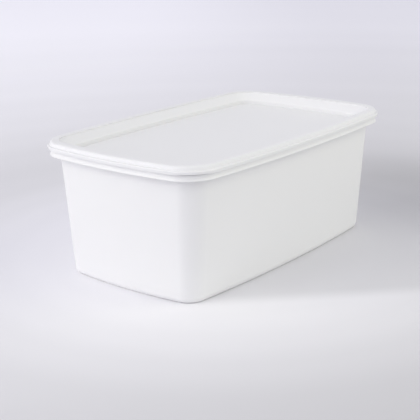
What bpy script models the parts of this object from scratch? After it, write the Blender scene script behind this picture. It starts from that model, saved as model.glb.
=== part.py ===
"""Rectangular freezer tub of about four litres with a press-on lid, in white polypropylene.

The tub is tapered, its four sides bow gently outwards, and a short collar stands out from
the wall just below the lid.  The lid has a stepped rim with a raised flat crest round a
recessed panel.  The pack is shut and can't be seen into, so the tub is one solid body, and
the lid is a moulding of even thickness that hooks over the tub's rim.

Units are metres, +Z is up, X runs along the length.  The origin is the centre of the base.
"""
import math

import bmesh
import bpy

MM = 0.001

# Driving dimensions of the whole pack
TOTAL_HEIGHT = 110.5 * MM
LID_LENGTH = 282.2 * MM
LID_WIDTH = 174.4 * MM

# The tub's wall, measured where it would meet the floor and just under the collar
WALL_LENGTH_LOW = 253.4 * MM
WALL_WIDTH_LOW = 141.6 * MM
WALL_CORNER_LOW = 13.0 * MM
END_BOW_LOW = 5.2 * MM
SIDE_BOW_LOW = 5.7 * MM
WALL_LENGTH_TOP = 264.6 * MM
LID_REACH = (LID_LENGTH - WALL_LENGTH_TOP) / 2
WALL_WIDTH_TOP = LID_WIDTH - 2 * LID_REACH
WALL_CORNER_TOP = 16.5 * MM
CORNER_GROWTH = 0.75
END_BOW_TOP = 6.8 * MM
SIDE_BOW_TOP = 6.2 * MM
WALL_TOP = 98.0 * MM
FOOT_HEIGHT = 5.5 * MM
FOOT_INSET = 3.2 * MM

# The collar below the lid: how far it stands out, its flared lower edge and the channel behind it
COLLAR_REACH = 7.2 * MM
COLLAR_LEAN = 1.3 * MM
COLLAR_BOTTOM = 99.2 * MM
COLLAR_TOP = 103.9 * MM
COLLAR_THICKNESS = 1.4 * MM
COLLAR_EDGE = 0.25 * MM
COLLAR_TOP_EDGE = 0.25 * MM
FLARE_RUN = 0.9 * MM
FLARE_HEIGHT = 1.9 * MM
FLARE_EDGE = 0.5 * MM
FLARE_RADIUS = 1.2 * MM
CHANNEL_DEPTH = 3.2 * MM

# How far the tub's rim, hidden inside the lid, stands out
RIM_OUTSIDE = 5.0 * MM

# The lid, from its skirt up over the shoulder to the crest and down to the panel
LID_THICKNESS = 1.3 * MM
LID_EDGE = 0.35 * MM
SKIRT_BOTTOM = 104.2 * MM
SKIRT_LEAN = 0.4 * MM
SKIRT_TOP_REACH = LID_REACH + 0.13 * MM
SHOULDER_HEIGHT = 108.3 * MM
SHOULDER_RADIUS = 1.0 * MM
SHOULDER_WIDTH = 1.6 * MM
SHOULDER_INNER = LID_REACH - SHOULDER_WIDTH
RISER_RUN = 0.8 * MM
CREST_OUTER = SHOULDER_INNER - RISER_RUN
CREST_RADIUS = 2.1 * MM
CREST_INNER = -1.5 * MM
CREST_INNER_RADIUS = 0.7 * MM
LIP_RUN = 0.2 * MM
LIP_HEIGHT = 1.0 * MM
LIP_FILLET = 0.5 * MM
RECESS_DEPTH = 10.1 * MM
RECESS_RUN = 6.7 * MM
STEP_RUN = 0.2 * MM
STEP_HEIGHT = 2.2 * MM
STEP_RADIUS = 0.8 * MM

# The recess bows out less than the rim round it
RECESS_END_BOW = 5.5 * MM
RECESS_SIDE_BOW = 3.8 * MM

# The gap between lid and tub, and how finely round stretches are divided
FIT_GAP = 0.3 * MM
CORNER_STEPS = 8
SIDE_STEPS = 8
END_STEPS = 6
FOOT_STEPS = 4
FILLET_STEPS = 2
WALL_STEPS = 3
SMOOTH_ANGLE = math.radians(32.0)

WHITE = (0.86, 0.86, 0.87, 1.0)


def outline(half_length, half_width, corner, end_bow, side_bow):
    """Points of a rounded rectangle whose sides bow out, anticlockwise from +X.

    The corners are pulled in along both axes, so the middle of each side keeps its place.
    """
    corner_x = half_length - corner
    corner_y = half_width - corner
    points = []
    for quarter in range(4):
        start = quarter * math.pi / 2
        sign_x = 1 if quarter in (0, 3) else -1
        sign_y = 1 if quarter in (0, 1) else -1
        for step in range(CORNER_STEPS + 1):
            angle = start + step * (math.pi / 2) / CORNER_STEPS
            points.append((sign_x * corner_x + corner * math.cos(angle),
                           sign_y * corner_y + corner * math.sin(angle)))
        # A straight run follows each arc: a long side after arcs 0 and 2, an end after 1 and 3
        if quarter in (0, 2):
            count = SIDE_STEPS
            run = (-sign_x * 2 * corner_x, 0.0)
        else:
            count = END_STEPS
            run = (0.0, -sign_y * 2 * corner_y)
        last = points[-1]
        for step in range(1, count):
            share = step / count
            points.append((last[0] + run[0] * share, last[1] + run[1] * share))
    bowed = []
    for x, y in points:
        pull_x = 1 - end_bow / half_length * (y / half_width) ** 2
        pull_y = 1 - side_bow / half_width * (x / half_length) ** 2
        bowed.append((x * pull_x, y * pull_y))
    return bowed


def between(low, top, share):
    return low + (top - low) * share


def corner_change(offset):
    """How much a corner's radius changes with an offset: corners outside the wall are squarer."""
    return offset * CORNER_GROWTH if offset > 0 else offset


def wall_ring(offset, height):
    """The wall's outline at a height, moved out by an offset, as a ring of points.

    Above the wall, the outline stays that of the wall's top.
    """
    share = min(height / WALL_TOP, 1.0)
    points = outline(between(WALL_LENGTH_LOW, WALL_LENGTH_TOP, share) / 2 + offset,
                     between(WALL_WIDTH_LOW, WALL_WIDTH_TOP, share) / 2 + offset,
                     between(WALL_CORNER_LOW, WALL_CORNER_TOP, share) + corner_change(offset),
                     between(END_BOW_LOW, END_BOW_TOP, share),
                     between(SIDE_BOW_LOW, SIDE_BOW_TOP, share))
    return [(x, y, height) for x, y in points]


def lid_ring(offset, height):
    """A ring of the lid, whose bows change from the rim's to the recess's across the crest."""
    share = (offset - CREST_INNER) / (CREST_OUTER - CREST_INNER)
    share = max(0.0, min(1.0, share))
    points = outline(WALL_LENGTH_TOP / 2 + offset, WALL_WIDTH_TOP / 2 + offset,
                     WALL_CORNER_TOP + corner_change(offset),
                     between(RECESS_END_BOW, END_BOW_TOP, share),
                     between(RECESS_SIDE_BOW, SIDE_BOW_TOP, share))
    return [(x, y, height) for x, y in points]


def rounded_path(corners):
    """A section path through (offset, height, radius) corners, each one rounded."""
    path = [corners[0][:2]]
    for before, corner, after in zip(corners, corners[1:], corners[2:]):
        radius = corner[2]
        if radius == 0.0:
            path.append(corner[:2])
            continue
        to_before = (before[0] - corner[0], before[1] - corner[1])
        to_after = (after[0] - corner[0], after[1] - corner[1])
        length_before = math.hypot(*to_before)
        length_after = math.hypot(*to_after)
        dot = to_before[0] * to_after[0] + to_before[1] * to_after[1]
        half = math.acos(dot / (length_before * length_after)) / 2
        reach = radius / math.tan(half)
        start = [corner[k] + to_before[k] / length_before * reach for k in (0, 1)]
        end = [corner[k] + to_after[k] / length_after * reach for k in (0, 1)]
        # A quadratic curve that touches both legs
        for step in range(FILLET_STEPS + 1):
            t = step / FILLET_STEPS
            weights = ((1 - t) ** 2, 2 * t * (1 - t), t ** 2)
            path.append(tuple(weights[0] * start[k] + weights[1] * corner[k] + weights[2] * end[k]
                              for k in (0, 1)))
    path.append(corners[-1][:2])
    return path


def loft(name, rings, material, collection):
    """A closed body through a stack of rings, capped by the first and the last ring."""
    mesh = bpy.data.meshes.new(name)
    builder = bmesh.new()
    rows = [[builder.verts.new(point) for point in ring] for ring in rings]
    count = len(rows[0])
    for lower, upper in zip(rows, rows[1:]):
        for i in range(count):
            j = (i + 1) % count
            builder.faces.new((lower[i], lower[j], upper[j], upper[i]))
    builder.faces.new(list(reversed(rows[0])))
    builder.faces.new(rows[-1])
    bmesh.ops.recalc_face_normals(builder, faces=builder.faces)
    builder.to_mesh(mesh)
    builder.free()
    mesh.materials.append(material)
    mesh.shade_smooth()
    mesh.set_sharp_from_angle(angle=SMOOTH_ANGLE)
    part = bpy.data.objects.new(name, mesh)
    collection.objects.link(part)
    return part


def plastic(name, colour, roughness):
    """Moulded polypropylene."""
    material = bpy.data.materials.new(name)
    material.use_nodes = True
    shader = material.node_tree.nodes["Principled BSDF"]
    shader.inputs["Base Color"].default_value = colour
    shader.inputs["Roughness"].default_value = roughness
    shader.inputs["Metallic"].default_value = 0.0
    return material


def make_tub(collection):
    """The tapered tub with its collar, up to the rim that the lid hooks over."""
    rings = []
    for step in range(FOOT_STEPS + 1):
        angle = step / FOOT_STEPS * math.pi / 2
        inset = FOOT_INSET * (1 - math.sin(angle))
        rings.append(wall_ring(-inset, FOOT_HEIGHT * (1 - math.cos(angle))))
    for step in range(1, WALL_STEPS + 1):
        rings.append(wall_ring(0.0, FOOT_HEIGHT + (WALL_TOP - FOOT_HEIGHT) * step / WALL_STEPS))

    panel_seat = TOTAL_HEIGHT - RECESS_DEPTH - LID_THICKNESS - FIT_GAP
    rim_height = TOTAL_HEIGHT - LID_THICKNESS - FIT_GAP
    rim_inside = CREST_INNER + LID_THICKNESS + FIT_GAP
    channel_side = COLLAR_REACH - COLLAR_THICKNESS
    collar = [
        (0.0, WALL_TOP, 0.0),
        (0.0, COLLAR_BOTTOM + CHANNEL_DEPTH, 0.0),
        (channel_side - COLLAR_LEAN, COLLAR_BOTTOM + CHANNEL_DEPTH, 0.0),
        (channel_side, COLLAR_BOTTOM, 0.0),
        (COLLAR_REACH, COLLAR_BOTTOM, COLLAR_EDGE),
        (COLLAR_REACH, COLLAR_BOTTOM + FLARE_EDGE, COLLAR_EDGE),
        (COLLAR_REACH - FLARE_RUN, COLLAR_BOTTOM + FLARE_HEIGHT, FLARE_RADIUS),
        (COLLAR_REACH - COLLAR_LEAN, COLLAR_TOP, COLLAR_TOP_EDGE),
        (RIM_OUTSIDE, COLLAR_TOP, 0.0),
        (RIM_OUTSIDE, rim_height, 0.0),
    ]
    rings += [wall_ring(offset, height) for offset, height in rounded_path(collar)[1:]]
    rings.append(lid_ring(rim_inside, rim_height))
    rings.append(lid_ring(rim_inside - RECESS_RUN, panel_seat))
    return loft("tub", rings, plastic("tub_plastic", WHITE, 0.38), collection)


def make_lid(collection):
    """The lid: its under surface from the panel out to the skirt, then over the top and back in."""
    panel = TOTAL_HEIGHT - RECESS_DEPTH
    recess_foot = CREST_INNER - RECESS_RUN
    under_crest = TOTAL_HEIGHT - LID_THICKNESS
    under_shoulder = SHOULDER_HEIGHT - LID_THICKNESS
    section = [
        (recess_foot + LID_THICKNESS, panel - LID_THICKNESS, 0.0),
        (CREST_INNER + LID_THICKNESS, under_crest, 0.0),
        (CREST_OUTER - LID_THICKNESS / 2, under_crest, 0.0),
        (CREST_OUTER, under_shoulder, 0.0),
        (LID_REACH - LID_THICKNESS, under_shoulder, 0.0),
        (LID_REACH - LID_THICKNESS - SKIRT_LEAN, SKIRT_BOTTOM, 0.0),
        (LID_REACH - SKIRT_LEAN, SKIRT_BOTTOM, LID_EDGE),
        (SKIRT_TOP_REACH, SHOULDER_HEIGHT, SHOULDER_RADIUS),
        (SHOULDER_INNER, SHOULDER_HEIGHT, 0.0),
        (CREST_OUTER, TOTAL_HEIGHT, CREST_RADIUS),
        (CREST_INNER, TOTAL_HEIGHT, CREST_INNER_RADIUS),
        (CREST_INNER - LIP_RUN, TOTAL_HEIGHT - LIP_HEIGHT, LIP_FILLET),
        (recess_foot + STEP_RUN, panel + STEP_HEIGHT, STEP_RADIUS),
        (recess_foot, panel, 0.0),
        (recess_foot - RECESS_RUN, panel, 0.0),
    ]
    rings = [lid_ring(offset, height) for offset, height in rounded_path(section)]
    return loft("lid", rings, plastic("lid_plastic", WHITE, 0.34), collection)


def main():
    for old in list(bpy.data.objects):
        bpy.data.objects.remove(old)
    collection = bpy.data.collections.new("freezer_tub")
    bpy.context.scene.collection.children.link(collection)
    make_tub(collection)
    make_lid(collection)


main()
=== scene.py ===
"""Looks of the shut freezer tub: fine surfaces, white moulded plastic, soft studio light.

Units are metres, +Z is up.  The tub and the lid are made again at a finer division, close to the
outlines and sections of the solids that they stand for, and sized from those solids.
"""
import math

import bmesh
import bpy
from mathutils import Matrix, Vector


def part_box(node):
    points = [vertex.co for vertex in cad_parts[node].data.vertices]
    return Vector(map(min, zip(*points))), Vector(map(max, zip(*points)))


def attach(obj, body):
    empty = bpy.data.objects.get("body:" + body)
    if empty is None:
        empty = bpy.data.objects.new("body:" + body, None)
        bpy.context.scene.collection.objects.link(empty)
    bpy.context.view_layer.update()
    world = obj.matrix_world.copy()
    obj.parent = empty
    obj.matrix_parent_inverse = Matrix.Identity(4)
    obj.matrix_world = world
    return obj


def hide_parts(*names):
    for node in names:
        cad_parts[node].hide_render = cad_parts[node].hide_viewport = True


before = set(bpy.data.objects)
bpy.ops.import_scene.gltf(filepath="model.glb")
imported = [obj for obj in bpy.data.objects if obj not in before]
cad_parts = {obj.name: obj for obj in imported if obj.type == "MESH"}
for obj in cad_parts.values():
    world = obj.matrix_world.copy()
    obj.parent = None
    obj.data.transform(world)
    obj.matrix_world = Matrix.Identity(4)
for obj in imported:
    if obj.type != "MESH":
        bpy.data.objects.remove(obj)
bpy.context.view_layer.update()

MM = 0.001

# The pack's sizes, read from the solids
_, tub_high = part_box("tub")
_, lid_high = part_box("lid")
TOTAL_HEIGHT = lid_high.z
LID_HALF_LENGTH = lid_high.x
LID_HALF_WIDTH = lid_high.y
COLLAR_HALF_LENGTH = tub_high.x

# The wall under the collar, and where it would meet the floor
LID_REACH = 8.8 * MM
TOP_HALF_LENGTH = LID_HALF_LENGTH - LID_REACH
TOP_HALF_WIDTH = LID_HALF_WIDTH - LID_REACH
END_DRAFT = 5.6 * MM
SIDE_DRAFT = 7.6 * MM
CORNER_LOW = 13.0 * MM
CORNER_TOP = 16.5 * MM
CORNER_GROWTH = 0.75
END_BOW_LOW = 5.2 * MM
END_BOW_TOP = 6.8 * MM
SIDE_BOW_LOW = 5.7 * MM
SIDE_BOW_TOP = 6.2 * MM
WALL_TOP = 98.0 * MM
FOOT_HEIGHT = 5.5 * MM
FOOT_INSET = 3.2 * MM

# The base: a shallow recess inside the ring that it stands on
BASE_RING = 6.0 * MM
BASE_RECESS = 0.5 * MM

# The collar
COLLAR_REACH = COLLAR_HALF_LENGTH - TOP_HALF_LENGTH
COLLAR_LEAN = 0.9 * MM
COLLAR_BOTTOM = 99.2 * MM
COLLAR_TOP = 103.9 * MM
COLLAR_THICKNESS = 1.4 * MM
COLLAR_EDGE = 0.25 * MM
COLLAR_TOP_EDGE = 0.25 * MM
FLARE_RUN = 0.7 * MM
FLARE_HEIGHT = 1.9 * MM
FLARE_EDGE = 0.5 * MM
FLARE_RADIUS = 1.2 * MM
CHANNEL_DEPTH = 3.2 * MM
CHANNEL_FILLET = 0.6 * MM
RIM_OUTSIDE = 5.0 * MM

# The lid
LID_THICKNESS = 1.3 * MM
LID_EDGE = 0.35 * MM
SKIRT_BOTTOM = 104.1 * MM
CORNER_RISE = 0.5 * MM
CORNER_RISE_SPAN = 3.0 * MM
SKIRT_LEAN = 0.6 * MM
SKIRT_TOP_REACH = LID_REACH + 0.16 * MM
SHOULDER_HEIGHT = 107.3 * MM
SHOULDER_RADIUS = 1.0 * MM
SHOULDER_WIDTH = 1.6 * MM
SHOULDER_INNER = LID_REACH - SHOULDER_WIDTH
RISER_RUN = 0.8 * MM
CREST_OUTER = SHOULDER_INNER - RISER_RUN
CREASE_RADIUS = 0.7 * MM
SKIRT_INNER_RADIUS = 0.25 * MM
CREST_RADIUS = 2.1 * MM
CREST_INNER = -1.5 * MM
CREST_INNER_RADIUS = 0.7 * MM
LIP_RUN = 0.2 * MM
LIP_HEIGHT = 1.0 * MM
LIP_FILLET = 0.5 * MM
RECESS_DEPTH = 10.1 * MM
RECESS_RUN = 6.7 * MM
STEP_RUN = 0.2 * MM
STEP_HEIGHT = 2.8 * MM
STEP_RADIUS = 1.1 * MM
PANEL_GROOVE_DEPTH = 1.0 * MM
PANEL_GROOVE_WIDTH = 1.5 * MM
PANEL_GROOVE_RADIUS = 0.35 * MM
RECESS_END_BOW = 5.5 * MM
RECESS_SIDE_BOW = 3.8 * MM
FIT_GAP = 0.3 * MM

# How finely the pieces are divided
CORNER_STEPS = 20
SIDE_CUTS = 27
END_CUTS = 17
FILLET_STEPS = 5
WALL_STEPS = 14
SMOOTH_ANGLE = math.radians(38.0)

# A ring this far beside a fillet keeps the shading of the flat next to it clean.  It is there
# only where the flat is longer than this many times what the fillet takes of it.
EDGE_SUPPORT = 0.6 * MM
SUPPORT_ROOM = 3.0

# An edge of the starting outline is straight along an axis within this
LEVEL_WITHIN = 1e-6

# White polypropylene: the scales are repeats of a pattern in a metre
WHITE = (0.83, 0.83, 0.83)
SATIN = 0.42
TUB_GRAIN = 0.25
LID_GRAIN = 0.15
PLASTIC_IOR = 1.49
SCATTER_SHARE = 0.12
SCATTER_COLOUR = (1.0, 0.95, 0.9)
SCATTER_DEPTH = 3.0 * MM
FLOW_SCALE = 9.0
FLOW_DETAIL = 2.0
FLOW_SHADE = 0.985
SPARK_SCALE = 2600.0
SPARK_DETAIL = 3.0
SPARK_DEPTH = 0.02 * MM
WAVE_SCALE = 22.0
WAVE_DETAIL = 1.0
WAVE_STRENGTH = 0.35
WAVE_DEPTH = 0.25 * MM


def between(low, top, share):
    """The value a share of the way from the low one to the top one."""
    return low + (top - low) * share


def start_outline(bm):
    """A flat rounded rectangle at the origin, which holds where each point lies on the outline.

    Two vertex layers keep a point's place on the straight core and its direction on the
    corner's arc, so that an extruded copy can be fitted to another size.
    """
    core = bm.verts.layers.float_vector.new("core")
    outward = bm.verts.layers.float_vector.new("outward")
    half = 1.0
    corner = 0.25
    bmesh.ops.create_grid(bm, x_segments=1, y_segments=1, size=half)
    bmesh.ops.bevel(bm, geom=bm.verts[:], offset=corner, offset_type="OFFSET", affect="VERTICES",
                    segments=CORNER_STEPS, profile=0.5, material=-1, clamp_overlap=False)
    bmesh.ops.delete(bm, geom=bm.faces[:], context="FACES_ONLY")
    reach = half - corner
    straights = [e for e in bm.edges if e.calc_length() > reach]
    long_sides = [e for e in straights
                  if abs(e.verts[0].co.y - e.verts[1].co.y) < LEVEL_WITHIN]
    ends = [e for e in straights
            if abs(e.verts[0].co.x - e.verts[1].co.x) < LEVEL_WITHIN]
    bmesh.ops.subdivide_edges(bm, edges=long_sides, cuts=SIDE_CUTS)
    bmesh.ops.subdivide_edges(bm, edges=ends, cuts=END_CUTS)
    for v in bm.verts:
        centre = Vector((max(-reach, min(reach, v.co.x)), max(-reach, min(reach, v.co.y)), 0.0))
        v[core] = centre / reach
        v[outward] = (v.co - centre).normalized()
    return core, outward


def fit_ring(verts, layers, offset, height, of_lid):
    """Moves a ring onto the wall's outline at a height, an offset outside it.

    A ring of the lid changes its bows from the rim's to the recess's across the crest, and the
    skirt's lower edge rises a little round the corners.
    """
    core, outward = layers
    share = min(height / WALL_TOP, 1.0)
    half_length = TOP_HALF_LENGTH - END_DRAFT * (1 - share) + offset
    half_width = TOP_HALF_WIDTH - SIDE_DRAFT * (1 - share) + offset
    growth = CORNER_GROWTH if offset > 0 else 1.0
    corner = between(CORNER_LOW, CORNER_TOP, share) + offset * growth
    end_bow = between(END_BOW_LOW, END_BOW_TOP, share)
    side_bow = between(SIDE_BOW_LOW, SIDE_BOW_TOP, share)
    rise = 0.0
    if of_lid:
        across = (offset - CREST_INNER) / (CREST_OUTER - CREST_INNER)
        across = max(0.0, min(1.0, across))
        if offset > CREST_OUTER:
            rise = CORNER_RISE * max(0.0, 1 - (height - SKIRT_BOTTOM) / CORNER_RISE_SPAN)
        end_bow = between(RECESS_END_BOW, end_bow, across)
        side_bow = between(RECESS_SIDE_BOW, side_bow, across)
    for v in verts:
        x = v[core].x * (half_length - corner) + v[outward].x * corner
        y = v[core].y * (half_width - corner) + v[outward].y * corner
        v.co.x = x * (1 - end_bow / half_length * (y / half_width) ** 2)
        v.co.y = y * (1 - side_bow / half_width * (x / half_length) ** 2)
        v.co.z = height + rise * abs(2 * v[outward].x * v[outward].y)


def rounded_path(corners):
    """A section through (offset, height, radius) corners, each one rounded and supported."""
    path = [corners[0][:2]]
    for before, corner, after in zip(corners, corners[1:], corners[2:]):
        radius = corner[2]
        if radius == 0.0:
            path.append(corner[:2])
            continue
        here = Vector(corner[:2])
        to_before = Vector(before[:2]) - here
        to_after = Vector(after[:2]) - here
        reach = radius / math.tan(to_before.angle(to_after) / 2)
        support = min(EDGE_SUPPORT, radius)
        start = here + to_before.normalized() * reach
        end = here + to_after.normalized() * reach
        if to_before.length > SUPPORT_ROOM * reach + support:
            path.append(tuple(start + to_before.normalized() * support))
        for step in range(FILLET_STEPS + 1):
            t = step / FILLET_STEPS
            path.append(tuple(start * (1 - t) ** 2 + here * 2 * t * (1 - t) + end * t ** 2))
        if to_after.length > SUPPORT_ROOM * reach + support:
            path.append(tuple(end + to_after.normalized() * support))
    path.append(corners[-1][:2])
    return path


def sweep_section(name, path, of_lid_from):
    """A closed piece: the outline is raised ring by ring along a section, then capped.

    The rings from a given place in the path on follow the lid's outline.
    """
    bm = bmesh.new()
    layers = start_outline(bm)
    fit_ring(bm.verts, layers, *path[0], of_lid_from == 0)
    rim = bm.edges[:]
    bmesh.ops.edgeloop_fill(bm, edges=rim)
    for place, (offset, height) in enumerate(path[1:], start=1):
        made = bmesh.ops.extrude_edge_only(bm, edges=rim)["geom"]
        rim = [e for e in made if isinstance(e, bmesh.types.BMEdge)]
        raised = [v for v in made if isinstance(v, bmesh.types.BMVert)]
        fit_ring(raised, layers, offset, height, place >= of_lid_from)
    bmesh.ops.edgeloop_fill(bm, edges=rim)
    bmesh.ops.recalc_face_normals(bm, faces=bm.faces[:])
    mesh = bpy.data.meshes.new(name)
    bm.to_mesh(mesh)
    bm.free()
    mesh.shade_smooth()
    mesh.set_sharp_from_angle(angle=SMOOTH_ANGLE)
    piece = bpy.data.objects.new(name, mesh)
    bpy.context.scene.collection.objects.link(piece)
    return piece


def moulded_plastic(name, grain):
    """White polypropylene: light scatters a little below a satin, faintly textured skin."""
    material = bpy.data.materials.new(name)
    material.use_nodes = True
    nodes, links = material.node_tree.nodes, material.node_tree.links
    shader = nodes["Principled BSDF"]
    shader.inputs["Roughness"].default_value = SATIN
    shader.inputs["IOR"].default_value = PLASTIC_IOR
    shader.inputs["Subsurface Weight"].default_value = SCATTER_SHARE
    shader.inputs["Subsurface Radius"].default_value = SCATTER_COLOUR
    shader.inputs["Subsurface Scale"].default_value = SCATTER_DEPTH
    place = nodes.new("ShaderNodeTexCoord")

    # Slow variation of the colour, as the melt flowed
    flow = nodes.new("ShaderNodeTexNoise")
    flow.inputs["Scale"].default_value = FLOW_SCALE
    flow.inputs["Detail"].default_value = FLOW_DETAIL
    links.new(place.outputs["Object"], flow.inputs["Vector"])
    tone = nodes.new("ShaderNodeMix")
    tone.data_type = "RGBA"
    tone.inputs["A"].default_value = (*(c * FLOW_SHADE for c in WHITE), 1.0)
    tone.inputs["B"].default_value = (*WHITE, 1.0)
    links.new(flow.outputs["Fac"], tone.inputs["Factor"])
    links.new(tone.outputs["Result"], shader.inputs["Base Color"])

    # The mould's fine sparked texture, over a very slight waviness of the wall
    spark = nodes.new("ShaderNodeTexNoise")
    spark.inputs["Scale"].default_value = SPARK_SCALE
    spark.inputs["Detail"].default_value = SPARK_DETAIL
    links.new(place.outputs["Object"], spark.inputs["Vector"])
    wave = nodes.new("ShaderNodeTexNoise")
    wave.inputs["Scale"].default_value = WAVE_SCALE
    wave.inputs["Detail"].default_value = WAVE_DETAIL
    links.new(place.outputs["Object"], wave.inputs["Vector"])
    fine = nodes.new("ShaderNodeBump")
    fine.inputs["Strength"].default_value = grain
    fine.inputs["Distance"].default_value = SPARK_DEPTH
    links.new(spark.outputs["Fac"], fine.inputs["Height"])
    slow = nodes.new("ShaderNodeBump")
    slow.inputs["Strength"].default_value = WAVE_STRENGTH
    slow.inputs["Distance"].default_value = WAVE_DEPTH
    links.new(wave.outputs["Fac"], slow.inputs["Height"])
    links.new(fine.outputs["Normal"], slow.inputs["Normal"])
    links.new(slow.outputs["Normal"], shader.inputs["Normal"])
    return material


def make_tub():
    """The tapered tub: base recess, foot, wall, collar with its channel, and the rim."""
    panel_seat = TOTAL_HEIGHT - RECESS_DEPTH - LID_THICKNESS - FIT_GAP
    rim_height = TOTAL_HEIGHT - LID_THICKNESS - FIT_GAP
    rim_inside = CREST_INNER + LID_THICKNESS + FIT_GAP
    channel_side = COLLAR_REACH - COLLAR_THICKNESS
    path = [(-FOOT_INSET - BASE_RING - BASE_RECESS, BASE_RECESS), (-FOOT_INSET - BASE_RING, 0.0)]
    foot_steps = 2 * FILLET_STEPS
    for step in range(foot_steps + 1):
        angle = step / foot_steps * math.pi / 2
        path.append((-FOOT_INSET * (1 - math.sin(angle)), FOOT_HEIGHT * (1 - math.cos(angle))))
    for step in range(WALL_STEPS + 1):
        rise = EDGE_SUPPORT + (WALL_TOP - FOOT_HEIGHT - EDGE_SUPPORT) * step / WALL_STEPS
        path.append((0.0, FOOT_HEIGHT + rise))
    path += rounded_path([
        (0.0, WALL_TOP, 0.0),
        (0.0, COLLAR_BOTTOM + CHANNEL_DEPTH, CHANNEL_FILLET),
        (channel_side - COLLAR_LEAN, COLLAR_BOTTOM + CHANNEL_DEPTH, CHANNEL_FILLET),
        (channel_side, COLLAR_BOTTOM, COLLAR_EDGE),
        (COLLAR_REACH, COLLAR_BOTTOM, COLLAR_EDGE),
        (COLLAR_REACH, COLLAR_BOTTOM + FLARE_EDGE, COLLAR_EDGE),
        (COLLAR_REACH - FLARE_RUN, COLLAR_BOTTOM + FLARE_HEIGHT, FLARE_RADIUS),
        (COLLAR_REACH - COLLAR_LEAN, COLLAR_TOP, COLLAR_TOP_EDGE),
        (RIM_OUTSIDE, COLLAR_TOP, 0.0),
        (RIM_OUTSIDE, rim_height, 0.0),
    ])[1:]
    inside_lid = len(path)
    path += [(rim_inside, rim_height), (rim_inside - RECESS_RUN, panel_seat)]
    tub = sweep_section("tub_body", path, inside_lid)
    tub.data.materials.append(moulded_plastic("white_tub_plastic", TUB_GRAIN))
    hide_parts("tub")
    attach(tub, "root")
    return tub


def make_lid():
    """The lid: under surface out to the skirt, over the shoulder and crest, down to the panel."""
    panel = TOTAL_HEIGHT - RECESS_DEPTH
    recess_foot = CREST_INNER - RECESS_RUN
    under_crest = TOTAL_HEIGHT - LID_THICKNESS
    under_shoulder = SHOULDER_HEIGHT - LID_THICKNESS
    lid = sweep_section("lid_cover", rounded_path([
        (recess_foot + LID_THICKNESS, panel - LID_THICKNESS, 0.0),
        (CREST_INNER + LID_THICKNESS, under_crest, 0.0),
        (CREST_OUTER - LID_THICKNESS / 2, under_crest, 0.0),
        (CREST_OUTER, under_shoulder, 0.0),
        (LID_REACH - LID_THICKNESS, under_shoulder, SKIRT_INNER_RADIUS),
        (LID_REACH - LID_THICKNESS - SKIRT_LEAN, SKIRT_BOTTOM, SKIRT_INNER_RADIUS),
        (LID_REACH - SKIRT_LEAN, SKIRT_BOTTOM, LID_EDGE),
        (SKIRT_TOP_REACH, SHOULDER_HEIGHT, SHOULDER_RADIUS),
        (SHOULDER_INNER, SHOULDER_HEIGHT, CREASE_RADIUS),
        (CREST_OUTER, TOTAL_HEIGHT, CREST_RADIUS),
        (CREST_INNER, TOTAL_HEIGHT, CREST_INNER_RADIUS),
        (CREST_INNER - LIP_RUN, TOTAL_HEIGHT - LIP_HEIGHT, LIP_FILLET),
        (recess_foot + STEP_RUN, panel + STEP_HEIGHT, STEP_RADIUS),
        (recess_foot, panel - PANEL_GROOVE_DEPTH, PANEL_GROOVE_RADIUS),
        (recess_foot - PANEL_GROOVE_WIDTH, panel - PANEL_GROOVE_DEPTH, PANEL_GROOVE_RADIUS),
        (recess_foot - PANEL_GROOVE_WIDTH - PANEL_GROOVE_DEPTH, panel, PANEL_GROOVE_RADIUS),
        (recess_foot - RECESS_RUN, panel, 0.0),
    ]), 0)
    lid.data.materials.append(moulded_plastic("white_lid_plastic", LID_GRAIN))
    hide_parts("lid")
    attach(lid, "root")
    return lid


# The photograph's view, in a square frame
VIEW_YAW = math.radians(-51.18)
VIEW_PITCH = math.radians(17.13)
VIEW_ROLL = math.radians(-1.05)
VIEW_PLACE = Vector((-0.6564, -0.5134, 0.2903))
FRAME_PIXELS = 420
FOCAL_PIXELS = 1009.0
SENSOR = 36.0
VIEW_DEPTH = 50.0


def make_camera():
    """The photograph's camera: its place, its turn and its focal length on the square frame."""
    data = bpy.data.cameras.new("camera")
    data.sensor_width = SENSOR
    data.lens = FOCAL_PIXELS / FRAME_PIXELS * SENSOR
    data.clip_end = VIEW_DEPTH
    camera = bpy.data.objects.new("camera", data)
    turn = Matrix.Rotation(VIEW_YAW, 4, "Z") @ Matrix.Rotation(math.pi / 2 - VIEW_PITCH, 4, "X")
    camera.matrix_world = Matrix.Translation(VIEW_PLACE) @ turn @ Matrix.Rotation(VIEW_ROLL, 4, "Z")
    bpy.context.scene.collection.objects.link(camera)
    bpy.context.scene.camera = camera


# Soft boxes: name, azimuth and elevation in degrees, distance from the tub, width and height in
# metres, power in watts, colour.  Azimuth 0 is towards -Y and 90 towards +X.
SOFT_BOXES = [
    ("left_low", -130.0, 15.0, 3.0, 2.4, 1.8, 17.0, (0.98, 0.97, 1.05)),
    ("left_back", -130.0, 35.0, 3.2, 2.0, 2.0, 11.6, (1.12, 1.10, 0.78)),
    ("left_key", -100.0, 30.0, 3.2, 2.0, 2.0, 21.4, (1.02, 1.02, 0.96)),
    ("front_low", 10.0, 20.0, 1.5, 1.0, 0.8, 2.88, (1.04, 1.08, 0.88)),
    ("front_high", 30.0, 35.0, 1.6, 1.0, 0.9, 4.42, (1.10, 1.10, 0.81)),
]
ROOM_LIGHT = (0.626, 0.622, 0.704, 1.0)
ROOM_STRENGTH = 1.0


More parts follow.
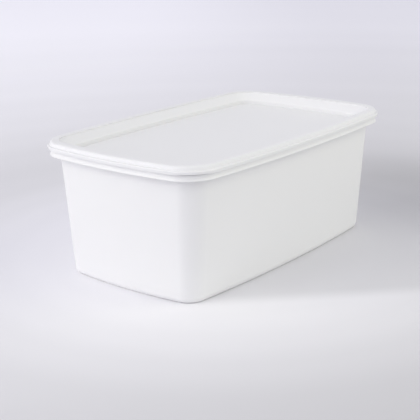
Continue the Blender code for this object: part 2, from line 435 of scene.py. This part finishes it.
def soft_light(name, azimuth, elevation, distance, width, height, power, colour):
    """A soft box aimed at the middle of the tub."""
    data = bpy.data.lights.new(name, "AREA")
    data.shape = "RECTANGLE"
    data.size, data.size_y = width, height
    data.energy = power
    data.color = colour
    light = bpy.data.objects.new(name, data)
    a, e = math.radians(azimuth), math.radians(elevation)
    back = Vector((math.sin(a) * math.cos(e), -math.cos(a) * math.cos(e), math.sin(e)))
    light.location = Vector((0.0, 0.0, TOTAL_HEIGHT / 2)) + back * distance
    light.rotation_euler = back.to_track_quat("Z", "Y").to_euler()
    bpy.context.scene.collection.objects.link(light)


# The floor's paper: its tone, with painted light fall-off, and its faint painted glow further back,
# by distance from the tub in metres
FLOOR_RADIUS = 6.0
FLOOR_SEGMENTS = 96
PAPER_ROUGHNESS = 0.8
FLOOR_TINT = (1.0, 0.994, 1.025)
FLOOR_PAINTED_LIGHT_TONES = [(0.0, 0.83), (0.12, 0.83), (0.16, 0.80), (0.20, 0.76), (0.24, 0.71), (0.29, 0.655),
               (0.34, 0.64), (0.41, 0.665), (0.49, 0.71), (0.58, 0.75), (0.69, 0.785), (0.82, 0.83),
               (0.97, 0.86), (3.0, 0.87)]
FLOOR_GLOWS = [(0.0, 0.0), (0.9, 0.0), (1.16, 0.04), (1.35, 0.08), (1.6, 0.115), (2.05, 0.13),
               (3.0, 0.15)]
FLOOR_RANGE = 3.0

# Painted light fall-off: the tone darkens slowly to the right and to the front.  Painted shadow of
# the tub: a soft shade beyond the right end and along the near long side.  A fade holds two
# distances in metres and the factor on the tone at each.  The painted shadow along the side starts
# at a soft edge, which runs from the near corner.
RIGHT_WAY = (0.627, -0.779, 0.0)
RIGHT_PAINTED_FALLOFF = (-0.25, 0.35, 1.13, 0.96)
FRONT_WAY = (-0.496, -0.863, 0.0)
FRONT_PAINTED_FALLOFF = (0.14, 0.36, 1.0, 0.88)
SHADE_BEYOND = (0.25, -0.03, 0.0)
BEYOND_FADE = (0.03, 0.2, 0.78, 1.0)
SHADE_ALONG = (0.0, -0.13, 0.0)
SHADE_STRETCH = (0.4, 1.0, 1.0)
ALONG_FADE = (0.03, 0.14, 0.83, 1.0)
SHADE_EDGE_WAY = (0.71, 0.70, 0.0)
SHADE_EDGE = (-0.137, -0.111)


def tone_ramp(nodes, stops):
    """A smooth grey ramp through (distance, value) stops."""
    ramp = nodes.new("ShaderNodeValToRGB")
    ramp.color_ramp.interpolation = "EASE"
    elements = ramp.color_ramp.elements
    while len(elements) < len(stops):
        elements.new(0.5)
    for element, (distance, value) in zip(elements, stops):
        element.position = distance / FLOOR_RANGE
        element.color = (value, value, value, 1.0)
    return ramp


def floor_paper():
    """Pale seamless paper with painted light fall-off: brightest round the tub, a soft dip behind
    it, bright further off.

    A painted soft-edged shadow of the tub lies along the near long side and beyond the right end.
    """
    material = bpy.data.materials.new("floor_paper")
    material.use_nodes = True
    nodes, links = material.node_tree.nodes, material.node_tree.links
    shader = nodes["Principled BSDF"]
    shader.inputs["Roughness"].default_value = PAPER_ROUGHNESS
    place = nodes.new("ShaderNodeTexCoord").outputs["Object"]

    def feed(socket, value):
        if isinstance(value, float):
            socket.default_value = value
        else:
            links.new(value, socket)

    def vector_math(operation, vector=None, of=place, result="Value"):
        node = nodes.new("ShaderNodeVectorMath")
        node.operation = operation
        links.new(of, node.inputs[0])
        if vector is not None:
            node.inputs[1].default_value = vector
        return node.outputs[result]

    def ranged(value, low, high, at_low, at_high):
        node = nodes.new("ShaderNodeMapRange")
        node.interpolation_type = "SMOOTHSTEP"
        feed(node.inputs["From Min"], low)
        feed(node.inputs["From Max"], high)
        feed(node.inputs["To Min"], at_low)
        feed(node.inputs["To Max"], at_high)
        feed(node.inputs["Value"], value)
        return node.outputs["Result"]

    def times(first, second):
        node = nodes.new("ShaderNodeMath")
        node.operation = "MULTIPLY"
        feed(node.inputs[0], first)
        feed(node.inputs[1], second)
        return node.outputs["Value"]

    distance = times(vector_math("LENGTH"), 1.0 / FLOOR_RANGE)
    # The tone ramp paints the light's fall-off on the paper: bright round the tub, a dip behind it,
    # brighter further off.
    tone = tone_ramp(nodes, FLOOR_PAINTED_LIGHT_TONES)
    # Painted light: the paper glows faintly further back, though no lamp is there.
    glow = tone_ramp(nodes, FLOOR_GLOWS)
    links.new(distance, tone.inputs["Fac"])
    links.new(distance, glow.inputs["Fac"])
    # Painted light fall-off: the paper is darker to the right and to the front.
    painted_falloff_right = ranged(vector_math("DOT_PRODUCT", RIGHT_WAY), *RIGHT_PAINTED_FALLOFF)
    painted_falloff_front = ranged(vector_math("DOT_PRODUCT", FRONT_WAY), *FRONT_PAINTED_FALLOFF)
    # Painted shadow of the tub: beyond the right end, and along the near long side from a soft
    # edge.
    beyond = ranged(vector_math("DISTANCE", SHADE_BEYOND), *BEYOND_FADE)
    from_along = vector_math("SUBTRACT", SHADE_ALONG, result="Vector")
    stretched = vector_math("MULTIPLY", SHADE_STRETCH, from_along, "Vector")
    along = ranged(vector_math("LENGTH", of=stretched), *ALONG_FADE)
    in_painted_shadow = ranged(vector_math("DOT_PRODUCT", SHADE_EDGE_WAY), *SHADE_EDGE, 1.0, along)
    shade = times(times(beyond, in_painted_shadow), painted_falloff_front)
    tint = nodes.new("ShaderNodeVectorMath")
    tint.operation = "SCALE"
    tint.inputs[0].default_value = FLOOR_TINT
    # The paper's colour carries the painted fall-off and the painted shadow.
    links.new(times(times(tone.outputs["Color"], painted_falloff_right), shade), tint.inputs["Scale"])
    links.new(tint.outputs["Vector"], shader.inputs["Base Color"])
    shader.inputs["Emission Color"].default_value = (*FLOOR_TINT, 1.0)
    links.new(glow.outputs["Color"], shader.inputs["Emission Strength"])
    return material


def make_studio():
    """The paper floor, the even light of the room and the soft boxes."""
    bm = bmesh.new()
    bmesh.ops.create_circle(bm, cap_ends=True, segments=FLOOR_SEGMENTS, radius=FLOOR_RADIUS)
    mesh = bpy.data.meshes.new("floor")
    bm.to_mesh(mesh)
    bm.free()
    floor = bpy.data.objects.new("floor", mesh)
    bpy.context.scene.collection.objects.link(floor)
    mesh.materials.append(floor_paper())

    world = bpy.data.worlds.new("studio")
    world.use_nodes = True
    back = world.node_tree.nodes["Background"]
    back.inputs["Color"].default_value = ROOM_LIGHT
    back.inputs["Strength"].default_value = ROOM_STRENGTH
    bpy.context.scene.world = world

    for soft_box in SOFT_BOXES:
        soft_light(*soft_box)


bpy.context.scene.view_settings.view_transform = "Standard"
make_tub()
make_lid()
make_camera()
make_studio()
